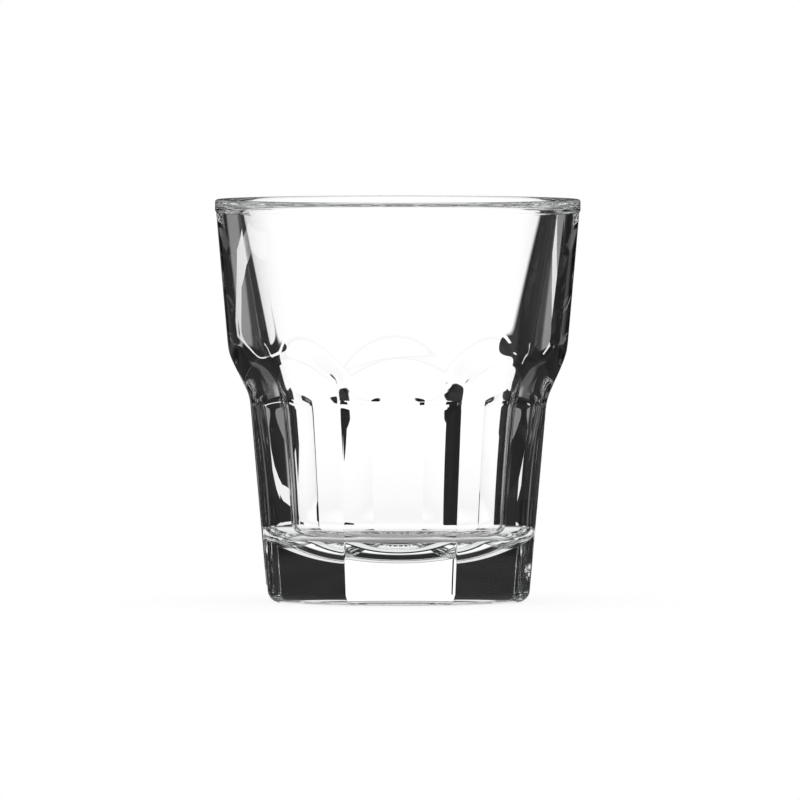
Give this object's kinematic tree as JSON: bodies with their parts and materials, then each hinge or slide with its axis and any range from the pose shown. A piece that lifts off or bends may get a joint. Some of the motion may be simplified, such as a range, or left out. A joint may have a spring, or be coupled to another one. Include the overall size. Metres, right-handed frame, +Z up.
{
  "type": "rocks glass",
  "caption": "Clear pressed rocks glass, round at the rim with flat tapered panels below, a thick solid base and a round tapered hollow for a drink.",
  "frame": {"origin": "on the glass's axis, in the plane of the ring that it stands on", "axes": "+Z up along the glass's axis towards the rim; -Y is the middle of the panel that faces the viewer, and +X its right side"},
  "size_m": [0.083, 0.083, 0.0912],
  "materials": {
    "clear_glass": "clear pressed glass, smooth and fire polished"
  },
  "bodies": {
    "root": {"glass_body": "clear_glass"}
  },
  "joints": []
}
